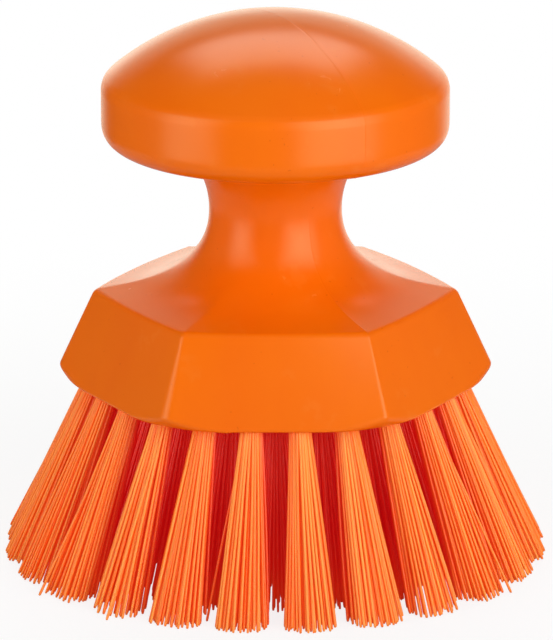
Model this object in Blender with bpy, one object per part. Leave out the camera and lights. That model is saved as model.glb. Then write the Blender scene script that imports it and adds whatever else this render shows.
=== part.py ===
"""Hand scrub brush: a palm knob, neck and hexagonal block in one moulding, set with filament tufts.

Units are metres and +Z is up. The origin is on the brush's axis, in the plane of the filament tips,
so the brush stands on its bristles. The front facet of the hexagonal block faces -Y, and azimuths
are counted from there towards +X.
"""

import math

import bmesh
import bpy
from mathutils import Matrix, Vector

# Filament field: where the tufts leave the block and where their tips end
FILAMENT_REACH = 0.03625
INNER_ROW_RADIUS = 0.0090
INNER_TIP_RADIUS = 0.0127
OUTER_TIP_RADIUS = 0.0508
ROW_NAMES = ("inner", "third", "second", "outer")
ROW_COUNTS = (5, 12, 18, 24)
ROW_FIRST_AZIMUTHS = (math.radians(36.0), math.radians(15.0), 0.0, math.radians(7.5))

# One tuft: a butt of folded filament in its hole, and the strands that fan out of it
TUFT_RADIUS = 0.0023
TUFT_FAN_RADIUS = 0.0050
BUTT_SIDES = 6
BUTT_CROWN_RADIUS = 0.0012
BUTT_CROWN_HEIGHT = 0.0011
CORE_SHARE = 0.52
STRAND_TIP_SCALE = 1.35
HOLE_DEPTH = 0.0120
HOLE_CLEARANCE = 0.0003

# Hexagonal block: a skirt that flares down to an edge whose corners are turned to a cone
ROOF_CORNER_RADIUS = 0.0366
SKIRT_HEIGHT = 0.0182
SKIRT_FLARE = math.radians(25.8)
TURNED_EDGE_RADIUS = 0.0414
TURNED_EDGE_SLOPE = math.radians(50.0)
TURNED_EDGE_BLEND = 0.0016
LOWER_EDGE_ROUND = 0.0008
HOLE_TO_SKIRT = 0.0009
ROOF_EDGE_ROUND = 0.0013
CORNER_ROUND_TOP = 0.0008
CORNER_ROUND_BOTTOM = 0.0030

# Roof: sweeps up from the block's top edge into the round neck
ROOF_HEIGHT = 0.01705
ROOF_EDGE_SLOPE = math.radians(9.9)
ROOF_EDGE_PULL = 0.00865
ROOF_NECK_PULL = 0.01377
HEXAGON_FADES_IN = 0.0008
HEXAGON_FULL_AT = 0.0105

# Neck and knob
NECK_RADIUS = 0.01334
FINGER_FILLET_WIDTH = 0.0090
FINGER_FILLET_HEIGHT = 0.01287
KNOB_RADIUS = 0.03485
KNOB_SIDE_HEIGHT = 0.01165
KNOB_LOWER_EDGE_WIDTH = 0.0079
KNOB_LOWER_EDGE_HEIGHT = 0.0055
KNOB_LOWER_EDGE_FULLNESS = 2.57
RIM_ROUND = 0.0041
DOME_RADIUS = 0.0519

# How finely the round forms are divided
BLOCK_SIDES = 6
SECTOR_STEPS = 8
DOME_STEPS = 7
RIM_STEPS = 4
KNOB_EDGE_STEPS = 5
FILLET_STEPS = 6
ROOF_STEPS = 11
EDGE_ROUND_STEPS = 2
TURNED_EDGE_STEPS = 3
HOLE_SIDES = 8
CUTTER_OVERRUN = 0.0020

# Materials: base colour, roughness, metallic
HANDLE_FINISH = (0.86, 0.135, 0.006), 0.32, 0.0
FILAMENT_FINISH = (0.87, 0.10, 0.012), 0.38, 0.0

# Heights that follow from the sizes above
UNDERSIDE_Z = FILAMENT_REACH
ROOF_EDGE_Z = UNDERSIDE_Z + SKIRT_HEIGHT
NECK_FOOT_Z = ROOF_EDGE_Z + ROOF_HEIGHT
KNOB_UNDERSIDE_Z = NECK_FOOT_Z + FINGER_FILLET_HEIGHT
KNOB_RIM_Z = KNOB_UNDERSIDE_Z + KNOB_SIDE_HEIGHT
RIM_CENTRE_RADIUS = KNOB_RADIUS - RIM_ROUND
DOME_CENTRE_Z = KNOB_RIM_Z - math.sqrt((DOME_RADIUS - RIM_ROUND) ** 2 - RIM_CENTRE_RADIUS ** 2)
DOME_TOP_Z = DOME_CENTRE_Z + DOME_RADIUS

# Radii that follow from the sizes above
HALF_SECTOR = math.pi / BLOCK_SIDES
SKIRT_CORNER_RADIUS = ROOF_CORNER_RADIUS + SKIRT_HEIGHT * math.tan(SKIRT_FLARE)
UNDERSIDE_INRADIUS = min(SKIRT_CORNER_RADIUS * math.cos(HALF_SECTOR), TURNED_EDGE_RADIUS)
HOLE_RADIUS = TUFT_RADIUS + HOLE_CLEARANCE
BUTT_TURN = math.pi / BUTT_SIDES


def clear_scene():
    """Remove every object that the opened file holds."""
    for item in list(bpy.data.objects):
        bpy.data.objects.remove(item, do_unlink=True)


def make_material(name, finish):
    """A Principled material from a base colour, a roughness and a metallic value."""
    colour, roughness, metallic = finish
    material = bpy.data.materials.new(name)
    material.use_nodes = True
    shader = material.node_tree.nodes["Principled BSDF"]
    shader.inputs["Base Color"].default_value = (*colour, 1.0)
    shader.inputs["Roughness"].default_value = roughness
    shader.inputs["Metallic"].default_value = metallic
    material.diffuse_color = (*colour, 1.0)
    return material


def mesh_from(bm, name):
    """Turn a bmesh into a mesh datablock, with its faces pointing out."""
    bmesh.ops.recalc_face_normals(bm, faces=bm.faces)
    mesh = bpy.data.meshes.new(name)
    bm.to_mesh(mesh)
    bm.free()
    return mesh


def add_object(name, mesh, material=None):
    """Link a new object that shows the mesh in the material."""
    item = bpy.data.objects.new(name, mesh)
    if material is not None and not mesh.materials:
        mesh.materials.append(material)
    bpy.context.scene.collection.objects.link(item)
    return item


def make_cutter(name, mesh):
    """Link an object that only cuts others and isn't part of the brush."""
    cutter = add_object(name, mesh)
    cutter.hide_render = True
    cutter.display_type = "WIRE"
    return cutter


def arc(centre, radii, start, end, steps):
    """Points on an ellipse about centre, from the start angle to the end angle, both included."""
    points = []
    for step in range(steps + 1):
        angle = start + (end - start) * step / steps
        points.append((centre[0] + radii[0] * math.cos(angle), centre[1] + radii[1] * math.sin(angle)))
    return points


def bezier(start, start_pull, end_pull, end, steps):
    """Points on a cubic Bezier curve, without its two end points."""
    points = []
    for step in range(1, steps):
        t = step / steps
        weights = ((1 - t) ** 3, 3 * (1 - t) ** 2 * t, 3 * (1 - t) * t ** 2, t ** 3)
        controls = (start, start_pull, end_pull, end)
        points.append(tuple(sum(w * c[axis] for w, c in zip(weights, controls)) for axis in (0, 1)))
    return points


def full_corner(radius, height, width, depth, fullness, steps):
    """Points that turn in and down from a radius and height, on a quarter of a superellipse."""
    points = []
    for step in range(steps + 1):
        angle = math.pi / 2 * step / steps
        inwards = 1 - math.cos(angle) ** (2 / fullness)
        downwards = math.sin(angle) ** (2 / fullness)
        points.append((radius - width * inwards, height - depth * downwards))
    return points


def knob_profile():
    """Radius and height of the knob and neck, from below the dome's pole to above the neck's foot."""
    rim_centre = (RIM_CENTRE_RADIUS, KNOB_RIM_Z)
    rim_angle = math.atan2(KNOB_RIM_Z - DOME_CENTRE_Z, RIM_CENTRE_RADIUS)
    dome = arc((0.0, DOME_CENTRE_Z), (DOME_RADIUS, DOME_RADIUS), math.pi / 2, rim_angle, DOME_STEPS)
    rim = arc(rim_centre, (RIM_ROUND, RIM_ROUND), rim_angle, 0.0, RIM_STEPS)
    lower_edge = full_corner(
        KNOB_RADIUS,
        KNOB_UNDERSIDE_Z + KNOB_LOWER_EDGE_HEIGHT,
        KNOB_LOWER_EDGE_WIDTH,
        KNOB_LOWER_EDGE_HEIGHT,
        KNOB_LOWER_EDGE_FULLNESS,
        KNOB_EDGE_STEPS,
    )
    fillet_centre = (NECK_RADIUS + FINGER_FILLET_WIDTH, NECK_FOOT_Z)
    fillet_radii = (FINGER_FILLET_WIDTH, FINGER_FILLET_HEIGHT)
    fillet = arc(fillet_centre, fillet_radii, math.pi / 2, math.pi, FILLET_STEPS)
    return dome[1:-1] + rim + lower_edge + fillet[:-1]


def roof_profile():
    """Radius and height of a roof ridge, from the neck's foot to the round at the block's edge."""
    foot = (NECK_RADIUS, NECK_FOOT_Z)
    foot_pull = (NECK_RADIUS, NECK_FOOT_Z - ROOF_NECK_PULL)
    edge = (ROOF_CORNER_RADIUS, ROOF_EDGE_Z)
    edge_pull = (
        ROOF_CORNER_RADIUS - ROOF_EDGE_PULL * math.cos(ROOF_EDGE_SLOPE),
        ROOF_EDGE_Z + ROOF_EDGE_PULL * math.sin(ROOF_EDGE_SLOPE),
    )
    return [foot] + bezier(foot, foot_pull, edge_pull, edge, ROOF_STEPS)


def roof_edge_round():
    """The rounded edge between the roof and the skirt, in the plane of a corner."""
    roof_angle = math.pi / 2 - ROOF_EDGE_SLOPE
    reach = ROOF_EDGE_ROUND / math.cos((roof_angle - SKIRT_FLARE) / 2)
    middle = (roof_angle + SKIRT_FLARE) / 2
    centre = (ROOF_CORNER_RADIUS - reach * math.cos(middle), ROOF_EDGE_Z - reach * math.sin(middle))
    radii = (ROOF_EDGE_ROUND, ROOF_EDGE_ROUND)
    return arc(centre, radii, roof_angle, SKIRT_FLARE, EDGE_ROUND_STEPS)


def skirt_profile():
    """Corner radius and height of the skirt's lower rings, from where the turned edge starts down."""
    cone_meets_corner = (SKIRT_CORNER_RADIUS - TURNED_EDGE_RADIUS) / (
        math.tan(SKIRT_FLARE) + math.tan(TURNED_EDGE_SLOPE)
    )
    start = cone_meets_corner + TURNED_EDGE_BLEND / 2
    heights = []
    for step in range(TURNED_EDGE_STEPS + 1):
        heights.append(start + (LOWER_EDGE_ROUND - start) * step / TURNED_EDGE_STEPS)
    for step in range(1, EDGE_ROUND_STEPS + 1):
        angle = math.pi / 2 * (1 - step / EDGE_ROUND_STEPS)
        heights.append(LOWER_EDGE_ROUND * (1 - math.cos(angle)))
    flare = math.tan(SKIRT_FLARE)
    return [(SKIRT_CORNER_RADIUS - height * flare, UNDERSIDE_Z + height) for height in heights]


def blended_min(first, second, blend):
    """The smaller of two sizes, with a smooth passage where they differ by less than blend."""
    overlap = max(blend - abs(first - second), 0.0) / blend
    return min(first, second) - overlap ** 2 * blend / 4


def turned_down(radius, height):
    """Limit a section of the skirt to the turned cone, and round it into the underside."""
    above = height - UNDERSIDE_Z
    cone = TURNED_EDGE_RADIUS + above * math.tan(TURNED_EDGE_SLOPE)
    limited = blended_min(radius, cone, TURNED_EDGE_BLEND)
    left = max(LOWER_EDGE_ROUND - above, 0.0)
    return limited - LOWER_EDGE_ROUND + math.sqrt(LOWER_EDGE_ROUND ** 2 - left ** 2)


def hexagon_radius(corner_radius, corner_round, azimuth):
    """Distance from the axis to a hexagon with rounded corners and a facet's middle at azimuth 0."""
    from_corner = abs((azimuth % (2 * HALF_SECTOR)) - HALF_SECTOR)
    inradius = corner_radius * math.cos(HALF_SECTOR)
    centre = (inradius - corner_round) / math.cos(HALF_SECTOR)
    tangent_x = centre + corner_round * math.cos(HALF_SECTOR)
    tangent_y = corner_round * math.sin(HALF_SECTOR)
    if from_corner >= math.atan2(tangent_y, tangent_x):
        return inradius / math.cos(HALF_SECTOR - from_corner)
    chord = math.sqrt(corner_round ** 2 - (centre * math.sin(from_corner)) ** 2)
    return centre * math.cos(from_corner) + chord


def hexagon_share(radius):
    """How much of the hexagon a roof section shows: none at the neck, all of it further out."""
    start = NECK_RADIUS + HEXAGON_FADES_IN
    share = (radius - start) / (HEXAGON_FULL_AT - HEXAGON_FADES_IN)
    share = min(max(share, 0.0), 1.0)
    return share * share * (3 - 2 * share)


def corner_round_at(height):
    """Radius of the skirt's vertical corners, which grows from the roof edge down."""
    share = min(max((ROOF_EDGE_Z - height) / SKIRT_HEIGHT, 0.0), 1.0)
    return CORNER_ROUND_TOP + (CORNER_ROUND_BOTTOM - CORNER_ROUND_TOP) * share


def ring_azimuths():
    """Azimuths of a ring's points: even steps in each sector, and one each side of every corner."""
    corner_half_width = CORNER_ROUND_BOTTOM * math.sin(HALF_SECTOR) / SKIRT_CORNER_RADIUS
    azimuths = []
    for sector in range(BLOCK_SIDES):
        middle = 2 * HALF_SECTOR * sector
        for step in range(SECTOR_STEPS):
            offset = 2 * HALF_SECTOR * step / SECTOR_STEPS
            at_corner = step * 2 == SECTOR_STEPS
            spread = (-corner_half_width, 0.0, corner_half_width) if at_corner else (0.0,)
            azimuths.extend(middle + offset + shift for shift in spread)
    return azimuths


def point_at(radius, azimuth, height):
    """A point by its distance from the axis, its azimuth from the front and its height."""
    return Vector((radius * math.sin(azimuth), -radius * math.cos(azimuth), height))


def section_radius(radius, height, azimuth):
    """Distance from the axis to the handle's surface: round down to the neck's foot, then hexagonal."""
    if height > NECK_FOOT_Z:
        return radius
    hexagon = hexagon_radius(radius, corner_round_at(height), azimuth)
    return turned_down(radius + (hexagon - radius) * hexagon_share(radius), height)


def add_ring(bm, radius, height, azimuths):
    """Add one ring of the handle's points at a height."""
    ring = []
    for azimuth in azimuths:
        ring.append(bm.verts.new(point_at(section_radius(radius, height, azimuth), azimuth, height)))
    return ring


def bridge(bm, upper, lower):
    """Join two rings of the same count with quads."""
    count = len(upper)
    for index in range(count):
        following = (index + 1) % count
        bm.faces.new((upper[index], upper[following], lower[following], lower[index]))


def handle_mesh():
    """Loft the knob, neck, roof and hexagonal skirt down to the underside, as one closed body."""
    azimuths = ring_azimuths()
    profile = knob_profile() + roof_profile() + roof_edge_round() + skirt_profile()
    bm = bmesh.new()
    rings = [add_ring(bm, radius, height, azimuths) for radius, height in profile]
    pole = bm.verts.new((0.0, 0.0, DOME_TOP_Z))
    for index, vertex in enumerate(rings[0]):
        bm.faces.new((pole, rings[0][(index + 1) % len(rings[0])], vertex))
    for upper, lower in zip(rings, rings[1:]):
        bridge(bm, upper, lower)
    bm.faces.new(list(reversed(rings[-1])))
    return mesh_from(bm, "handle_block")


def tuft_rows():
    """Name, count, first azimuth, mouth radius and tip radius of each row, from the middle outwards."""
    last = len(ROW_NAMES) - 1
    widest_lean = math.atan2(OUTER_TIP_RADIUS - UNDERSIDE_INRADIUS, FILAMENT_REACH)
    hole_to_facet = HOLE_TO_SKIRT + HOLE_RADIUS / math.cos(widest_lean)
    outer_row_radius = (UNDERSIDE_INRADIUS - hole_to_facet) / math.cos(ROW_FIRST_AZIMUTHS[-1])
    rows = []
    for index, name in enumerate(ROW_NAMES):
        share = index / last
        mouth = INNER_ROW_RADIUS + (outer_row_radius - INNER_ROW_RADIUS) * share
        tip = INNER_TIP_RADIUS + (OUTER_TIP_RADIUS - INNER_TIP_RADIUS) * share
        rows.append((name, ROW_COUNTS[index], ROW_FIRST_AZIMUTHS[index], mouth, tip))
    return rows


def tuft_placement(mouth_radius, azimuth):
    """Carry a tuft's own frame, whose X points away from the brush's axis, to its hole's mouth."""
    turn = Matrix.Rotation(azimuth - math.pi / 2, 4, "Z")
    return Matrix.Translation(point_at(mouth_radius, azimuth, UNDERSIDE_Z)) @ turn


def tuft_axis(mouth_radius, tip_radius):
    """Direction up a tuft's hole, in the tuft's own frame."""
    return Vector((mouth_radius - tip_radius, 0.0, FILAMENT_REACH)).normalized()


def section_ring(bm, axis, along, radius, sides, turn):
    """A regular section of a leaning prism, square to its axis at a distance along it."""
    across = Vector((axis.z, 0.0, -axis.x)) * radius
    side = Vector((0.0, 1.0, 0.0)) * radius
    ring = []
    for index in range(sides):
        angle = turn + 2 * math.pi * index / sides
        ring.append(bm.verts.new(axis * along + across * math.cos(angle) + side * math.sin(angle)))
    return ring


def hole_cutters_mesh(rows):
    """One blind hole for each tuft, leaning as the tuft does, all in one cutter."""
    bm = bmesh.new()
    turn = math.pi / HOLE_SIDES
    corner_radius = HOLE_RADIUS / math.cos(turn)
    for _, count, first, mouth, tip in rows:
        axis = tuft_axis(mouth, tip)
        for index in range(count):
            top = section_ring(bm, axis, HOLE_DEPTH, corner_radius, HOLE_SIDES, turn)
            bottom = section_ring(bm, axis, -CUTTER_OVERRUN, corner_radius, HOLE_SIDES, turn)
            bridge(bm, top, bottom)
            bm.faces.new(top)
            bm.faces.new(list(reversed(bottom)))
            placement = tuft_placement(mouth, first + 2 * math.pi * index / count)
            bmesh.ops.transform(bm, matrix=placement, verts=top + bottom)
    return mesh_from(bm, "tuft_holes")


def fan_factor():
    """How far a strand's middle moves out on its way down, as a multiple of where it starts.

    The outer strands' outer corners end at the fan's radius. A corner lies half a side away from
    its strand's middle, so the three lengths make a triangle, and this is its law of cosines.
    """
    half_side = math.pi / BUTT_SIDES
    corner = TUFT_RADIUS * STRAND_TIP_SCALE
    middle = TUFT_RADIUS * math.cos(half_side) * (1 + CORE_SHARE) / 2
    along = corner * math.cos(half_side)
    return (math.sqrt(along ** 2 - corner ** 2 + TUFT_FAN_RADIUS ** 2) - along) / middle


def mouth_cells(bm, axis):
    """The butt's rim, cut level with the underside, and its cells: a core of two and a ring of six."""
    outer = []
    core = []
    for index in range(BUTT_SIDES):
        angle = BUTT_TURN + 2 * math.pi * index / BUTT_SIDES
        corner = Vector((TUFT_RADIUS * math.cos(angle) / axis.z, TUFT_RADIUS * math.sin(angle), 0.0))
        outer.append(bm.verts.new(corner))
        core.append(bm.verts.new(corner * CORE_SHARE))
    cells = [core[1:5], core[4:] + core[:2]]
    for index in range(BUTT_SIDES):
        following = (index + 1) % BUTT_SIDES
        cells.append([outer[index], outer[following], core[following], core[index]])
    return outer, cells


def tuft_mesh(name, mouth_radius, tip_radius):
    """A tuft at its hole's mouth: the folded butt above, and eight strands that fan out to the tips.

    Every strand starts as its own share of the butt's mouth, so the strands part along their shared
    edges with no gap or overlap, and all of them end in the plane that the brush stands on.
    """
    axis = tuft_axis(mouth_radius, tip_radius)
    bm = bmesh.new()
    rim, cells = mouth_cells(bm, axis)
    crown_along = HOLE_DEPTH - HOLE_CLEARANCE
    shoulder_along = crown_along - BUTT_CROWN_HEIGHT
    crown = section_ring(bm, axis, crown_along, BUTT_CROWN_RADIUS, BUTT_SIDES, BUTT_TURN)
    shoulder = section_ring(bm, axis, shoulder_along, TUFT_RADIUS, BUTT_SIDES, BUTT_TURN)
    bm.faces.new(crown)
    bridge(bm, crown, shoulder)
    bridge(bm, shoulder, rim)
    tip_centre = Vector((tip_radius - mouth_radius, 0.0, -FILAMENT_REACH))
    fan = fan_factor()
    for cell in cells:
        middle = sum((vertex.co for vertex in cell), Vector()) / len(cell)
        middle.x *= axis.z
        tips = []
        for vertex in cell:
            level = Vector((vertex.co.x * axis.z, vertex.co.y, 0.0))
            tips.append(bm.verts.new(tip_centre + level * STRAND_TIP_SCALE + middle * fan))
        bridge(bm, cell, tips)
        bm.faces.new(tips)
    return mesh_from(bm, name)


def build_handle(rows):
    """The one-piece moulding: knob, neck and block, with a turned lower edge and the tuft holes."""
    material = make_material("orange_moulding", HANDLE_FINISH)
    handle = add_object("handle_block", handle_mesh(), material)
    holes = handle.modifiers.new("tuft_holes", "BOOLEAN")
    holes.operation = "DIFFERENCE"
    holes.solver = "EXACT"
    holes.object = make_cutter("tuft_hole_cutters", hole_cutters_mesh(rows))
    handle.data.shade_smooth()
    handle.data.set_sharp_from_angle(angle=math.radians(20.0))


def build_tufts(rows):
    """Every tuft of every row, each its own object at the mouth of its hole."""
    material = make_material("orange_filament", FILAMENT_FINISH)
    for row_name, count, first, mouth, tip in rows:
        mesh = tuft_mesh(f"tuft_{row_name}", mouth, tip)
        for index in range(count):
            tuft = add_object(f"tuft_{row_name}_{index + 1:02d}", mesh, material)
            tuft.matrix_world = tuft_placement(mouth, first + 2 * math.pi * index / count)


def main():
    """Build the whole brush."""
    clear_scene()
    rows = tuft_rows()
    build_handle(rows)
    build_tufts(rows)


main()
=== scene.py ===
"""Looks of a palm-grip hand scrub brush: a satin moulding set with tufts of translucent filament.

Units are metres and +Z is up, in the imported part's own frame. The brush stands on its filament
tips, its front faces -Y, and azimuths are counted from the front towards +X.
"""

import logging
import math
from dataclasses import dataclass, field
from enum import Enum

import bpy
import numpy as np
from mathutils import Matrix, Vector
from mathutils.geometry import delaunay_2d_cdt


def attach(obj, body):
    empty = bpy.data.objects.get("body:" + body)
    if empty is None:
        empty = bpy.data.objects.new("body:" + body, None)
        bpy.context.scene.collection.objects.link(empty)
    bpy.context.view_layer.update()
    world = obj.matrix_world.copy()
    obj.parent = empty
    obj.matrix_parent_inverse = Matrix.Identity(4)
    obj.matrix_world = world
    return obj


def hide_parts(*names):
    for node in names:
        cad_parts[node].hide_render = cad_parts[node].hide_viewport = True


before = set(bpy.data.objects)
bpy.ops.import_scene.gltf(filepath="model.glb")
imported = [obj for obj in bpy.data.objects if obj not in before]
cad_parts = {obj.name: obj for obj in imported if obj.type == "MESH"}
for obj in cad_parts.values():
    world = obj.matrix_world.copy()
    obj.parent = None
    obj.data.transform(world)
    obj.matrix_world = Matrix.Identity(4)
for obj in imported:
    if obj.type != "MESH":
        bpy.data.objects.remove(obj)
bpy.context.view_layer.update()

logging.basicConfig(level=logging.INFO, format="%(name)s: %(message)s")
log = logging.getLogger("scrub_brush")

Array = np.ndarray
Pair = tuple[float, float]
Triple = tuple[float, float, float]
Colour = Triple
Numbers = tuple[float, ...]
BODY = "root"
MM = 0.001
WHITE: Colour = (1.0, 1.0, 1.0)
SIDEWAYS = np.array([0.0, 1.0, 0.0])
INSIDE_LOOPS = 1
JOIN_DISTANCE = 0.0001 * MM


# Meshes


def numbered(points: Array, start: int = 0) -> Array:
    """Number points in order from the start, in their array's shape without its last axis."""
    return start + np.arange(points[..., 0].size).reshape(points.shape[:-1])


def closed_strips(index: Array) -> Array:
    """Join each ring of a grid to the next one with quads.

    Args:
        index: Vertex numbers, one row for each ring, with the last column next to the first.

    Returns:
        The quads, whose normals are (step to the next ring) x (step along the ring).
    """
    along = np.roll(index, -1, axis=-1)
    corners = (index[..., :-1, :], index[..., 1:, :], along[..., 1:, :], along[..., :-1, :])
    return np.stack(corners, axis=-1).reshape(-1, 4)


def fans(centres: Array, rings: Array) -> Array:
    """Close rings with triangles to a centre each.

    Args:
        centres: One vertex number for each ring.
        rings: Vertex numbers, one row for each ring.

    Returns:
        The triangles, whose normals are (step out from the centre) x (step along the ring).
    """
    middle = np.broadcast_to(np.asarray(centres)[..., None], rings.shape)
    return np.stack([middle, rings, np.roll(rings, -1, axis=-1)], axis=-1).reshape(-1, 3)


def capped_tubes(rings: Array, roots: Array, tips: Array) -> tuple[Array, list[Array]]:
    """Points and faces of tubes that end in a fan at both ends.

    Args:
        rings: Points by tube, ring, side and axis, from the tubes' roots to their tips.
        roots: The points that close the first rings.
        tips: The points that close the last rings.

    Returns:
        All points, with the roots and then the tips at the end, and the faces.
    """
    index = numbered(rings)
    faces = [
        closed_strips(index)[:, ::-1],
        fans(numbered(roots, index.size), index[:, 0])[:, ::-1],
        fans(numbered(tips, index.size + len(roots)), index[:, -1]),
    ]
    return np.concatenate([rings.reshape(-1, 3), roots, tips]), faces


def add_piece(
    name: str, vertices: Array, faces: list[Array], material: bpy.types.Material
) -> bpy.types.Object:
    """Make a smooth-shaded object from arrays, at the origin and on body root.

    Args:
        name: The piece's name.
        vertices: Its points in world coordinates, in the last axis.
        faces: Arrays of vertex numbers, one array for each count of corners.
        material: What it is made of.

    Returns:
        The new object.
    """
    mesh = bpy.data.meshes.new(name)
    corners = np.concatenate([group.ravel() for group in faces]).astype(np.int32)
    counts = np.concatenate([np.full(len(group), group.shape[1]) for group in faces])
    starts = np.concatenate([[0], np.cumsum(counts)[:-1]]).astype(np.int32)
    points = vertices.reshape(-1, 3)
    mesh.vertices.add(len(points))
    mesh.vertices.foreach_set("co", points.astype(np.float32).ravel())
    mesh.loops.add(len(corners))
    mesh.loops.foreach_set("vertex_index", corners)
    mesh.polygons.add(len(starts))
    mesh.polygons.foreach_set("loop_start", starts)
    mesh.update(calc_edges=True)
    mesh.shade_smooth()
    mesh.materials.append(material)
    piece = bpy.data.objects.new(name, mesh)
    bpy.context.scene.collection.objects.link(piece)
    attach(piece, BODY)
    return piece


def arc(centre: Pair, radii: Pair, start: float, end: float, count: int) -> Array:
    """Points on an ellipse, as radius and height, from the start angle to the end angle."""
    angles = np.linspace(start, end, count)
    across = centre[0] + radii[0] * np.cos(angles)
    height = centre[1] + radii[1] * np.sin(angles)
    return np.stack([across, height], axis=-1)


def turns(count: int) -> Array:
    """The angles that divide a full turn evenly."""
    return np.linspace(0.0, 2 * math.pi, count, endpoint=False)


def smoothstep(share: Array) -> Array:
    """Pass from 0 to 1 with level ends, as 3 s^2 - 2 s^3 with s held between 0 and 1."""
    held = np.clip(share, 0.0, 1.0)
    return held * held * (3.0 - 2.0 * held)


# Shader graphs


@dataclass(frozen=True)
class Marks:
    """Marks in noise: their size in metres, the noise's detail, and where they start and are full."""

    size: float
    detail: float
    start: float
    full: float


@dataclass(frozen=True)
class Socket:
    """A node's output in a graph, on which + and * add Math nodes."""

    graph: "ShaderGraph"
    output: bpy.types.NodeSocket

    def __add__(self, other: "Socket | float") -> "Socket":
        """Add."""
        return self.graph.math("ADD", self, other)

    def __mul__(self, other: "Socket | float") -> "Socket":
        """Multiply."""
        return self.graph.math("MULTIPLY", self, other)

    def between(self, low: float, high: float) -> "Socket":
        """Pass smoothly from 0 at low to 1 at high."""
        sockets = {"Value": self, "From Min": low, "From Max": high}
        return self.graph.node("ShaderNodeMapRange", {"interpolation_type": "SMOOTHSTEP"}, sockets)


class ShaderGraph:
    """The nodes of one material or world."""

    def __init__(self, owner: bpy.types.Material | bpy.types.World) -> None:
        """Start from the owner's first nodes."""
        owner.use_nodes = True
        self.owner = owner
        self.tree = owner.node_tree

    def node(self, kind: str, settings: dict, sockets: dict, output: str | int = 0) -> Socket:
        """Add a node.

        Args:
            kind: The node's type.
            settings: Its own properties, set before the sockets.
            sockets: Values, colours or links for its inputs, by name or number.
            output: Which output is wanted, by name or number.

        Returns:
            That output.
        """
        node = self.tree.nodes.new(kind)
        for key, value in settings.items():
            setattr(node, key, value)
        self.feed(node, sockets)
        return Socket(self, node.outputs[output])

    def feed(self, node: bpy.types.Node, sockets: dict) -> None:
        """Set or link a node's inputs."""
        for key, value in sockets.items():
            if isinstance(value, Socket):
                self.tree.links.new(value.output, node.inputs[key])
            else:
                node.inputs[key].default_value = value

    def math(self, operation: str, first: Socket | float, second: Socket | float) -> Socket:
        """Add a Math node."""
        return self.node("ShaderNodeMath", {"operation": operation}, {0: first, 1: second})

    def mix(self, factor: Socket | float, first: Colour | Socket, second: Colour | Socket) -> Socket:
        """Blend two colours, from the first at a factor of 0 to the second at 1."""
        sockets = {0: factor}
        for key, value in ((6, first), (7, second)):
            sockets[key] = value if isinstance(value, Socket) else (*value, 1.0)
        return self.node("ShaderNodeMix", {"data_type": "RGBA"}, sockets, 2)

    def place(self) -> Socket:
        """Where a point lies on its piece, in metres."""
        return self.node("ShaderNodeTexCoord", {}, {}, "Object")

    def stretched(self, scale: Triple) -> Socket:
        """The same place, scaled along each axis."""
        return self.node("ShaderNodeMapping", {}, {"Vector": self.place(), "Scale": scale})

    def noise(self, size: float, detail: float, place: Socket | None = None) -> Socket:
        """Smooth noise from 0 to 1 whose marks are about the given size in metres."""
        sockets = {"Vector": place or self.place(), "Scale": 1.0 / size, "Detail": detail}
        return self.node("ShaderNodeTexNoise", {}, sockets, "Fac")

    def marks(self, marks: Marks, place: Socket | None = None) -> Socket:
        """1 on the marks and 0 between them."""
        return self.noise(marks.size, marks.detail, place).between(marks.start, marks.full)

    def bump(self, height: Socket, depth: float) -> Socket:
        """A normal from a height of 0 to 1 that stands for the given depth in metres."""
        return self.node("ShaderNodeBump", {}, {"Height": height, "Distance": depth})

    def seen_directly(self) -> Socket:
        """1 for what the camera itself sees, and 0 for light on its way round the studio.

        A ray that came through clear material counts as the camera's. A mirrored ray doesn't: the
        plastic's gloss shows the softboxes behind the brush and the dim room before it.
        """
        straight = self.node("ShaderNodeLightPath", {}, {}, "Is Camera Ray")
        through = self.node("ShaderNodeLightPath", {}, {}, "Is Transmission Ray")
        return self.math("MAXIMUM", straight, through)

    def finish(self, sockets: dict) -> bpy.types.Material:
        """Set the Principled shader's inputs and hand the material over."""
        self.feed(self.tree.nodes["Principled BSDF"], sockets)
        return self.owner


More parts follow.
